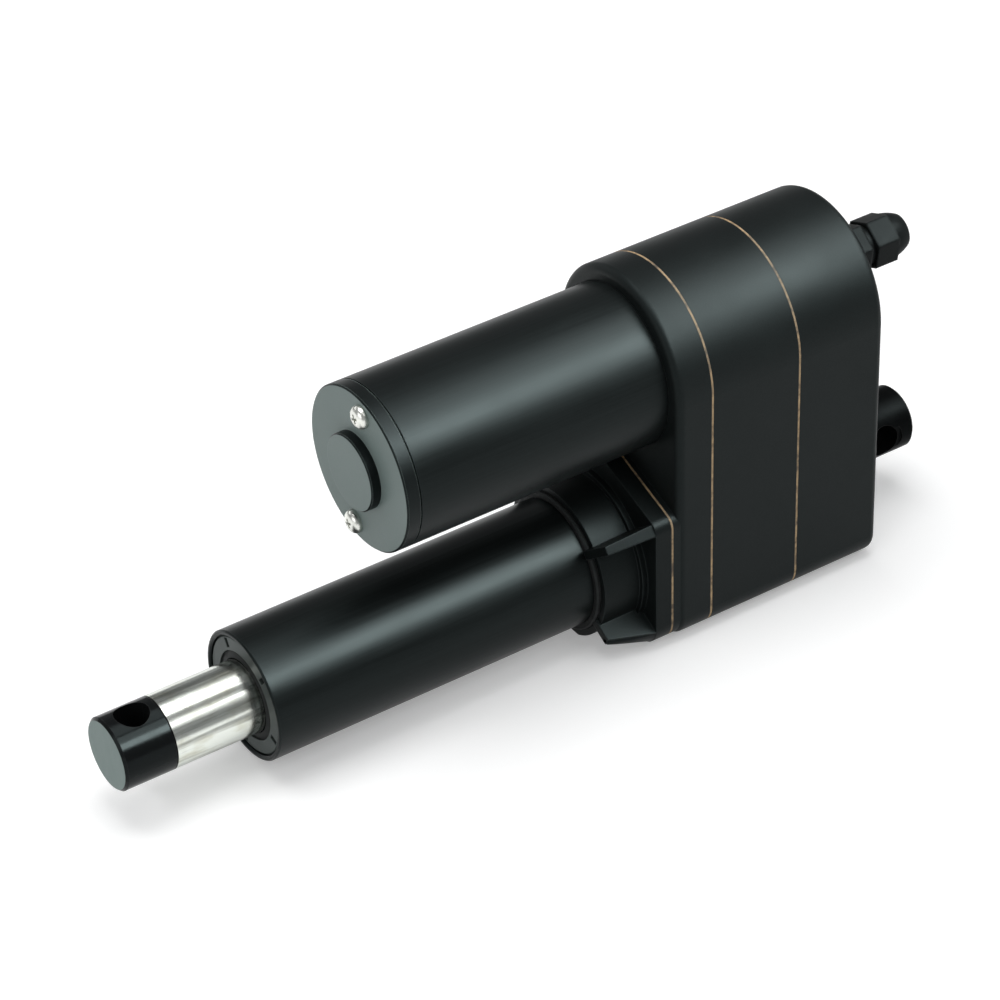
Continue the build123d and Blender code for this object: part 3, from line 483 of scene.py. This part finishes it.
def banded(name, colour, dark, roughness, metallic, scale, direction="X", depth=0.00006):
    """Even bands across one axis, as on wound wire, stacked sheets or a slotted commutator."""
    material, tree, shader = start_material(name, colour, roughness, metallic)
    wave = tree.nodes.new("ShaderNodeTexWave")
    wave.bands_direction = direction
    wave.inputs["Scale"].default_value = scale
    wave.inputs["Distortion"].default_value = 0.4
    wave.inputs["Detail"].default_value = 1.0
    tree.links.new(placed(tree), wave.inputs["Vector"])
    stain = noise(tree, placed(tree), 320.0, 3.0)
    tree.links.new(ramp(tree, wave.outputs["Fac"], dark, colour, 0.05, 0.45), shader.inputs["Base Color"])
    sheen = spread(tree, stain, roughness - 0.08, roughness + 0.1, 0.3, 0.7)
    tree.links.new(sheen, shader.inputs["Roughness"])
    bump(tree, shader, wave.outputs["Fac"], depth)
    return material


def dress(material, *names):
    """Puts one finish on the solids of these nodes."""
    for name in names:
        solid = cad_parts[name]
        solid.data.materials.clear()
        solid.data.materials.append(material)


# Shapes

def lathe(mesh, points, centre, steps=64):
    """Turns (x, radius) points, which start and end on the axis, into a closed solid of revolution."""
    side, level = centre
    corners = [mesh.verts.new((x, side, level + radius)) for x, radius in points]
    edges = [mesh.edges.new(pair) for pair in zip(corners, corners[1:])]
    bmesh.ops.spin(
        mesh, geom=corners + edges, cent=(0.0, side, level), axis=(1.0, 0.0, 0.0), dvec=(0.0, 0.0, 0.0),
        angle=2 * math.pi, steps=steps, use_merge=True, use_normal_flip=False, use_duplicate=False,
    )
    bmesh.ops.remove_doubles(mesh, verts=mesh.verts[:], dist=1e-7)


def finish_piece(mesh, name, material, body, sharp=SHARP_ANGLE):
    """Makes the object from its bmesh, with normals outwards, and lets it ride on its body."""
    bmesh.ops.recalc_face_normals(mesh, faces=mesh.faces[:])
    data = bpy.data.meshes.new(name)
    mesh.to_mesh(data)
    mesh.free()
    piece = bpy.data.objects.new(name, data)
    bpy.context.scene.collection.objects.link(piece)
    data.materials.append(material)
    data.shade_smooth()
    data.set_sharp_from_angle(angle=math.radians(sharp))
    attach(piece, body)
    return piece


def cut_away(piece, mesh):
    """Takes the shape in mesh out of the piece for good."""
    data = bpy.data.meshes.new("cutter")
    mesh.to_mesh(data)
    mesh.free()
    cutter = bpy.data.objects.new("cutter", data)
    bpy.context.scene.collection.objects.link(cutter)
    change = piece.modifiers.new("Cut", "BOOLEAN")
    change.operation = "DIFFERENCE"
    change.solver = "EXACT"
    change.object = cutter
    bpy.context.view_layer.update()
    shaped = bpy.data.meshes.new_from_object(piece.evaluated_get(bpy.context.evaluated_depsgraph_get()))
    piece.modifiers.remove(change)
    old = piece.data
    shaped.name = old.name
    piece.data = shaped
    shaped.set_sharp_from_angle(angle=math.radians(SHARP_ANGLE))
    bpy.data.objects.remove(cutter)
    bpy.data.meshes.remove(data)
    bpy.data.meshes.remove(old)


# Studio

def aim_camera(scene, studio):
    """The camera at its place, turned by azimuth, elevation and roll."""
    around, above, roll = studio.azimuth, studio.elevation, studio.roll
    back = Vector((
        math.sin(around) * math.cos(above), -math.cos(around) * math.cos(above), math.sin(above),
    ))
    right = Vector((math.cos(around), math.sin(around), 0.0))
    up = back.cross(right)
    across = math.cos(roll) * right + math.sin(roll) * up
    upward = math.cos(roll) * up - math.sin(roll) * right
    lens = bpy.data.cameras.new("camera")
    lens.lens = studio.focal_length
    lens.sensor_width = 36.0
    camera = bpy.data.objects.new("camera", lens)
    turned = Matrix((across, upward, back)).transposed().to_4x4()
    camera.matrix_world = Matrix.Translation(studio.place) @ turned
    scene.collection.objects.link(camera)
    scene.camera = camera


def light_sky(scene, studio):
    """The even light from all sides."""
    world = bpy.data.worlds.new("studio")
    world.use_nodes = True
    sky = world.node_tree.nodes["Background"]
    sky.inputs["Color"].default_value = (0.97, 0.99, 1.0, 1.0)
    sky.inputs["Strength"].default_value = studio.world
    scene.world = world


def lay_floor(scene, studio):
    """The white floor, which has some light of its own for the camera."""
    floor_radius, floor_gap = 9.0, 0.1 * MM
    mesh = bmesh.new()
    bmesh.ops.create_circle(mesh, cap_ends=True, segments=96, radius=floor_radius)
    data = bpy.data.meshes.new("floor")
    mesh.to_mesh(data)
    mesh.free()
    for corner in data.vertices:
        corner.co.z = cad_low.z - floor_gap
    floor = bpy.data.objects.new("floor", data)
    scene.collection.objects.link(floor)
    material = bpy.data.materials.new("floor_white")
    material.use_nodes = True
    tree = material.node_tree
    shader = tree.nodes["Principled BSDF"]
    shader.inputs["Base Color"].default_value = (0.88, 0.88, 0.88, 1.0)
    shader.inputs["Roughness"].default_value = 0.9
    shader.inputs["Specular IOR Level"].default_value = 0.1
    shader.inputs["Emission Color"].default_value = (1.0, 1.0, 1.0, 1.0)
    path = tree.nodes.new("ShaderNodeLightPath")
    seen = combine(tree, "MAXIMUM", path.outputs["Is Camera Ray"], path.outputs["Is Glossy Ray"])
    seen = combine(tree, "MAXIMUM", seen, path.outputs["Is Transmission Ray"])
    # Far from the lamps the floor needs more of its own light to stay white
    far_glow, near_edge, far_edge = 0.76, 0.4, 2.6
    reach = tree.nodes.new("ShaderNodeVectorMath")
    reach.operation = "LENGTH"
    tree.links.new(placed(tree), reach.inputs[0])
    glow = spread(tree, reach.outputs["Value"], studio.floor_glow, far_glow, near_edge, far_edge)
    tree.links.new(combine(tree, "MULTIPLY", seen, glow), shader.inputs["Emission Strength"])
    data.materials.append(material)


def hang_lamps(scene, studio):
    """The rectangular lamps round the part."""
    # The two sheen panels leave out the bare metal, which would only turn white
    bare_metal = bpy.data.collections.new("bare_metal")
    for name in ("extension_rod", "pan_screw_upper", "pan_screw_lower"):
        bare_metal.objects.link(bpy.data.objects[name])
    for link in bare_metal.collection_objects:
        link.light_linking.link_state = "EXCLUDE"

    # Each lamp: name, direction from the middle, distance, width, height, power, shows as gloss only
    middle = Vector((0.12, 0.0, 0.03))
    half_sheen = 0.5 * studio.sheen
    for name, toward, distance, width, height, power, gloss_only in (
        ("key", (-0.434, 0.725, 0.90), 1.4, 1.0, 0.4, studio.key, False),
        ("top", (0.05, -0.10, 1.0), 1.4, 1.1, 1.1, studio.top, False),
        ("front", (0.95, 0.20, 0.42), 1.5, 1.1, 0.8, studio.front, False),
        ("edge", (0.30, -0.80, 0.42), 1.5, 1.3, 0.28, studio.edge, False),
        ("sheen_low", (-0.434, 0.53, 0.73), 1.1, 1.3, 0.30, half_sheen, True),
        ("sheen_high", (-0.434, 0.395, 0.81), 1.1, 1.3, 0.72, half_sheen, True),
    ):
        lamp = bpy.data.lights.new(name, "AREA")
        lamp.shape = "RECTANGLE"
        lamp.size = width
        lamp.size_y = height
        lamp.energy = power
        holder = bpy.data.objects.new(name, lamp)
        direction = Vector(toward).normalized()
        holder.location = middle + direction * distance
        holder.rotation_euler = direction.to_track_quat("Z", "Y").to_euler()
        if gloss_only:
            holder.visible_diffuse = False
            holder.light_linking.receiver_collection = bare_metal
        scene.collection.objects.link(holder)


# Steps

class ActuatorStep:
    """What the operators share"""

    bl_options = {"REGISTER", "UNDO"}

    @property
    def sizes(self):
        return bpy.context.scene.actuator_sizes

    @property
    def colours(self):
        return bpy.context.scene.actuator_colours


class ACTUATOR_OT_housing(ActuatorStep, bpy.types.Operator):
    """Give the cast housings their satin black coat"""

    bl_idname = "actuator.housing"
    bl_label = "Gear housing"

    def execute(self, context):
        paint = tuple(self.colours.paint)
        roughness = self.colours.paint_roughness
        satin = coat("satin_coat", paint, roughness, 1500.0, 0.00003)
        dress(satin, "rear_cover", "middle_housing", "front_housing")
        return {"FINISHED"}


class ACTUATOR_OT_flange(ActuatorStep, bpy.types.Operator):
    """Coat the tube flange and make the foot under each of its gussets"""

    bl_idname = "actuator.flange"
    bl_label = "Tube flange"

    def execute(self, context):
        paint = tint(tuple(self.colours.paint), 0.9)
        roughness = self.colours.paint_roughness - 0.04
        cast = coat("flange_coat", paint, roughness, 1300.0, 0.00003, gloss=0.09, edge=0.0007)
        dress(cast, "tube_flange")

        # Each foot runs from the flange plate's round corner to the gusset's tip
        low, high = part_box("tube_flange")
        plate = high.x - self.sizes.post_length
        root = plate - 0.5 * MM
        tip = plate + self.sizes.foot_length
        thick = self.sizes.foot_thickness
        corner = 10.0 * MM
        corner_angles = (38.0, 52.0, 66.0, 80.0)
        root_inset, root_top = 0.6 * MM, low.z + 8.0 * MM
        tip_inset, tip_top, tip_bottom = 4.8 * MM, low.z + 10.8 * MM, low.z + 8.4 * MM
        rounding = 0.5 * MM
        corners = []
        for turn in map(math.radians, corner_angles):
            reach = high.y - corner * (1 - math.sin(turn))
            corners.append((root, reach, low.z + corner * (1 - math.cos(turn))))
        corners.append((root, high.y - root_inset - thick, root_top))
        for inner in (0.0, thick):
            for level in (tip_top, tip_bottom):
                corners.append((tip, high.y - tip_inset - inner, level))
        for side, name in ((1, "gusset_foot_left"), (-1, "gusset_foot_right")):
            mesh = bmesh.new()
            for x, y, z in corners:
                mesh.verts.new((x, side * y, z))
            bmesh.ops.convex_hull(mesh, input=mesh.verts[:])
            bmesh.ops.dissolve_limit(
                mesh, angle_limit=math.radians(1.0), verts=mesh.verts[:], edges=mesh.edges[:],
            )
            bmesh.ops.bevel(
                mesh, geom=mesh.edges[:], offset=rounding, offset_type="OFFSET", segments=2,
                profile=0.5, affect="EDGES", material=-1,
            )
            finish_piece(mesh, name, cast, "base")
        return {"FINISHED"}


class ACTUATOR_OT_gaskets(ActuatorStep, bpy.types.Operator):
    """Give the gaskets between the housings their fibre board"""

    bl_idname = "actuator.gaskets"
    bl_label = "Gaskets"

    def execute(self, context):
        board = fibre_board("gasket_board", tuple(self.colours.gasket))
        dress(board, "rear_gasket", "front_gasket", "tube_gasket")
        return {"FINISHED"}


class ACTUATOR_OT_motor(ActuatorStep, bpy.types.Operator):
    """Finish the motor can and its cap"""

    bl_idname = "actuator.motor"
    bl_label = "Motor"

    def execute(self, context):
        paint = tuple(self.colours.paint)
        dress(drawn_coat("can_coat", paint, self.colours.can_roughness), "motor_can")
        # The cap's front faces take a lighter grey, a painted reflection
        cap = coat(
            "cap_coat", paint, self.colours.can_roughness, 2100.0, 0.00002,
            face=tuple(self.colours.painted_face_reflection), start=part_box("motor_can")[1].x,
        )
        dress(cap, "motor_end_cap")
        dress(ground_steel("plate_zinc", (0.55, 0.55, 0.53), 0.42, 300.0), "motor_plate")
        return {"FINISHED"}


class ACTUATOR_OT_cap_screws(ActuatorStep, bpy.types.Operator):
    """Make the two pan head screws with a cross recess that hold the motor cap"""

    bl_idname = "actuator.cap_screws"
    bl_label = "Motor cap screws"

    def execute(self, context):
        sizes = self.sizes
        nickel = ground_steel("nickel_plate", tuple(self.colours.nickel), 0.24, 90.0)
        can_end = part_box("motor_can")[1].x
        cap_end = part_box("motor_end_cap")[1].x
        # The head starts inside the cap, a little behind its face
        seat = can_end + (cap_end - can_end) * 0.6
        shank = 2.0 * MM
        # Shares of the radius that stay flat on top and of the recess that reach its floor
        flat_share = 0.35
        floor_share = 0.45
        cross_turn = 0.4
        for place in ("upper", "lower"):
            node = f"cap_screw_{place}"
            low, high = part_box(node)
            radius = (high.y - low.y) / 2 + sizes.head_margin
            centre = ((low.y + high.y) / 2, (low.z + high.z) / 2)
            top = high.x + 2 * sizes.head_margin
            crown = []
            for turn in (step * math.pi / 20 for step in range(11)):
                share = flat_share + (1 - flat_share) * math.cos(turn)
                crown.append((top - sizes.head_dome * (1 - math.sin(turn)), radius * share))
            mesh = bmesh.new()
            lathe(
                mesh,
                [
                    (low.x, 0.0), (low.x, shank - 0.3 * MM), (low.x + 0.4 * MM, shank),
                    (seat - 0.2 * MM, shank), (seat - 0.2 * MM, radius - 0.15 * MM),
                    (seat + 0.1 * MM, radius), *crown, (top, 0.0),
                ],
                centre,
            )
            screw = finish_piece(mesh, f"pan_screw_{place}", nickel, "base", 50.0)
            for turn in (cross_turn, cross_turn + math.pi / 2):
                spin = Matrix.Translation((top, *centre)) @ Matrix.Rotation(turn, 4, "X")
                slot = (2 * sizes.recess_depth, sizes.recess_width, sizes.recess_span, 1.0)
                mesh = bmesh.new()
                bmesh.ops.create_cube(mesh, size=1.0, matrix=spin @ Matrix.Diagonal(slot))
                floor = [corner for corner in mesh.verts if corner.co.x < top]
                bmesh.ops.scale(
                    mesh, verts=floor, vec=(1.0, floor_share, floor_share),
                    space=Matrix.Translation((0.0, *centre)).inverted(),
                )
                cut_away(screw, mesh)
            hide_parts(node)
        return {"FINISHED"}


class ACTUATOR_OT_tube(ActuatorStep, bpy.types.Operator):
    """Finish the outer tube, its bushing, seal, retainer and wiper"""

    bl_idname = "actuator.tube"
    bl_label = "Outer tube"

    def execute(self, context):
        paint = tint(tuple(self.colours.paint), 0.9)
        dress(drawn_coat("tube_coat", paint, self.colours.can_roughness - 0.02), "outer_tube")
        dress(rubber("seal_rubber", (0.012, 0.012, 0.012)), "tube_seal", "rod_wiper", "gland_seal")
        dress(moulding("acetal_black", (0.034, 0.040, 0.038), 0.45), "wiper_retainer")
        grey = moulding("bushing_grey", (0.05, 0.05, 0.048), 0.5)
        dress(grey, "front_bushing", "screw_guide", "brush_holder")
        return {"FINISHED"}


class ACTUATOR_OT_rod(ActuatorStep, bpy.types.Operator):
    """Finish the bright rod, its black end and the rear eye"""

    bl_idname = "actuator.rod"
    bl_label = "Rod and eyes"

    def execute(self, context):
        dress(polished_rod("rod_bright", tuple(self.colours.steel)), "extension_rod")
        black = tuple(self.colours.gloss_black)
        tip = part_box("rod_end")[1].x - 0.2 * MM
        # Painted reflection on the rod end's front face
        painted_end_reflection = tint(self.colours.painted_face_reflection, 1.25)
        dress(enamel("rod_end_enamel", black, 0.12, 0.09, face=painted_end_reflection, start=tip), "rod_end")
        dress(enamel("eye_enamel", tint(black, 0.7), 0.34, 0.016), "rear_eye")
        return {"FINISHED"}


class ACTUATOR_OT_gland(ActuatorStep, bpy.types.Operator):
    """Finish the cable gland"""

    bl_idname = "actuator.gland"
    bl_label = "Cable gland"

    def execute(self, context):
        nylon = moulding("gland_nylon", (0.008, 0.0092, 0.0092), 0.47, 900.0, 0.045, 0.0014)
        dress(nylon, "gland_body", "gland_nut", "gland_lock_nut")
        return {"FINISHED"}


class ACTUATOR_OT_fasteners(ActuatorStep, bpy.types.Operator):
    """Finish the housing screws and the nuts inside"""

    bl_idname = "actuator.fasteners"
    bl_label = "Housing screws"

    def execute(self, context):
        zinc = ground_steel("black_zinc", (0.14, 0.14, 0.145), 0.34, 60.0)
        dress(zinc, *(f"housing_screw_{number}" for number in range(1, 6)))
        nut = ground_steel("nut_zinc", (0.6, 0.6, 0.58), 0.36, 80.0)
        dress(nut, "rear_eye_nut", "lock_nut", "screw_key")
        return {"FINISHED"}


class ACTUATOR_OT_gears(ActuatorStep, bpy.types.Operator):
    """Finish the gears, shafts and bearings inside the housing"""

    bl_idname = "actuator.gears"
    bl_label = "Gears and shafts"

    def execute(self, context):
        gear = ground_steel("gear_steel", (0.52, 0.52, 0.51), 0.33, 420.0)
        dress(gear, "screw_gear", "intermediate_pinion", "motor_pinion")
        shaft = ground_steel("shaft_steel", (0.62, 0.62, 0.61), 0.24, 700.0)
        dress(shaft, "intermediate_shaft", "rotor_shaft")
        dress(
            ground_steel("bearing_steel", (0.66, 0.66, 0.67), 0.2, 900.0),
            "thrust_bearing", "screw_bearing", "shaft_bearing_rear", "shaft_bearing_front",
            "motor_bearing_front", "motor_bearing_rear",
        )
        dress(moulding("acetal_white", (0.74, 0.72, 0.66), 0.45), "intermediate_wheel")
        dress(ground_steel("nut_bronze", (0.60, 0.40, 0.18), 0.34, 260.0), "drive_nut")
        return {"FINISHED"}


class ACTUATOR_OT_rotor(ActuatorStep, bpy.types.Operator):
    """Finish the motor's rotor, magnets and brushes"""

    bl_idname = "actuator.rotor"
    bl_label = "Motor inside"

    def execute(self, context):
        sheets = banded("core_sheets", (0.30, 0.30, 0.31), (0.08, 0.08, 0.085), 0.4, 0.9, 320.0)
        dress(sheets, "armature_core")
        wire = banded("copper_wire", (0.62, 0.26, 0.11), (0.18, 0.06, 0.03), 0.32, 0.9, 260.0, "Y")
        dress(wire, "winding_rear", "winding_front")
        bars = banded(
            "commutator_bars", (0.66, 0.32, 0.16), (0.10, 0.05, 0.03), 0.3, 1.0, 95.0, "Z", 0.00003,
        )
        dress(bars, "commutator")
        magnet = coat("magnet_grey", (0.055, 0.055, 0.058), 0.55, 900.0, 0.00005)
        dress(magnet, "magnet_left", "magnet_right")
        dress(coat("brush_carbon", (0.03, 0.03, 0.031), 0.5, 1200.0, 0.00004), "brush_left", "brush_right")
        return {"FINISHED"}


class ACTUATOR_OT_lead_screw(ActuatorStep, bpy.types.Operator):
    """Make the lead screw with its trapezoid thread"""

    bl_idname = "actuator.lead_screw"
    bl_label = "Lead screw"

    def execute(self, context):
        sizes = self.sizes
        low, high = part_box("lead_screw")
        # Radii of the thread's crest, its core, the gear's seat and the two journals
        thread = 8.0 * MM
        core = thread - sizes.thread_depth
        gear_seat, front_journal, rear_journal = 9.0 * MM, 8.5 * MM, 7.5 * MM
        seat_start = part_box("screw_gear")[0].x - 0.5 * MM
        seat_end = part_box("screw_bearing")[0].x - 0.5 * MM
        journal_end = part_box("screw_bearing")[1].x + 1.0 * MM
        steel = ground_steel("screw_steel", (0.58, 0.58, 0.57), 0.27, 500.0)
        mesh = bmesh.new()
        lathe(
            mesh,
            [
                (low.x, 0.0), (low.x, rear_journal - 0.5 * MM), (low.x + 0.5 * MM, rear_journal),
                (seat_start, rear_journal), (seat_start, gear_seat), (seat_end, gear_seat),
                (seat_end, front_journal), (journal_end, front_journal), (journal_end + 0.6 * MM, core),
                (high.x - 0.6 * MM, core), (high.x, core - 0.6 * MM), (high.x, 0.0),
            ],
            (0.0, 0.0),
            48,
        )
        # One ridge of the thread, swept along the screw; its places along the axis are shares of the lead
        start = journal_end + 1.2 * MM
        pitch = sizes.thread_pitch
        turns = int((high.x - 1.5 * MM - start - 0.7 * pitch) / pitch)
        steps = 32
        foot, crest = core - 0.3 * MM, thread - 0.02 * MM
        profile = ((0.02, foot), (0.17, crest), (0.51, crest), (0.66, foot))
        ridge = [mesh.verts.new((start + along * pitch, 0.0, radius)) for along, radius in profile]
        face = mesh.faces.new(ridge)
        bmesh.ops.spin(
            mesh, geom=[face], cent=(0.0, 0.0, 0.0), axis=(-1.0, 0.0, 0.0), dvec=(pitch / steps, 0.0, 0.0),
            angle=2 * math.pi * turns, steps=steps * turns,
            use_merge=False, use_normal_flip=False, use_duplicate=False,
        )
        screw = finish_piece(mesh, "threaded_screw", steel, "screw", 40.0)
        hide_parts("lead_screw")
        return {"FINISHED"}


class ACTUATOR_OT_stage(ActuatorStep, bpy.types.Operator):
    """Set up the floor, the lamps and the camera"""

    bl_idname = "actuator.stage"
    bl_label = "Studio"

    def execute(self, context):
        scene = context.scene
        studio = scene.actuator_studio
        scene.view_settings.view_transform = "Standard"
        aim_camera(scene, studio)
        light_sky(scene, studio)
        lay_floor(scene, studio)
        hang_lamps(scene, studio)
        return {"FINISHED"}


class ACTUATOR_PT_panel(bpy.types.Panel):
    """Lists the actuator's steps, sizes and colours"""

    bl_idname = "ACTUATOR_PT_panel"
    bl_label = "Linear actuator"
    bl_space_type = "VIEW_3D"
    bl_region_type = "UI"
    bl_category = "Actuator"

    def draw(self, context):
        layout = self.layout
        for step in STEPS:
            layout.operator(step.bl_idname)
        for group in ("actuator_sizes", "actuator_colours", "actuator_studio"):
            values = getattr(context.scene, group)
            box = layout.box()
            for name in type(values).__annotations__:
                box.prop(values, name)


STEPS = (
    ACTUATOR_OT_housing, ACTUATOR_OT_flange, ACTUATOR_OT_gaskets, ACTUATOR_OT_motor, ACTUATOR_OT_cap_screws,
    ACTUATOR_OT_tube, ACTUATOR_OT_rod, ACTUATOR_OT_gland, ACTUATOR_OT_fasteners, ACTUATOR_OT_gears,
    ACTUATOR_OT_rotor, ACTUATOR_OT_lead_screw, ACTUATOR_OT_stage,
)
GROUPS = (
    ("actuator_sizes", ActuatorSizes),
    ("actuator_colours", ActuatorColours),
    ("actuator_studio", ActuatorStudio),
)


def register():
    for name, group in GROUPS:
        bpy.utils.register_class(group)
        setattr(bpy.types.Scene, name, bpy.props.PointerProperty(type=group))
    for step in STEPS:
        bpy.utils.register_class(step)
    bpy.utils.register_class(ACTUATOR_PT_panel)


def unregister():
    bpy.utils.unregister_class(ACTUATOR_PT_panel)
    for step in reversed(STEPS):
        bpy.utils.unregister_class(step)
    for name, group in reversed(GROUPS):
        delattr(bpy.types.Scene, name)
        bpy.utils.unregister_class(group)


def main():
    register()
    for step in STEPS:
        family, _, name = step.bl_idname.partition(".")
        getattr(getattr(bpy.ops, family), name)()


if __name__ == "__main__":
    main()
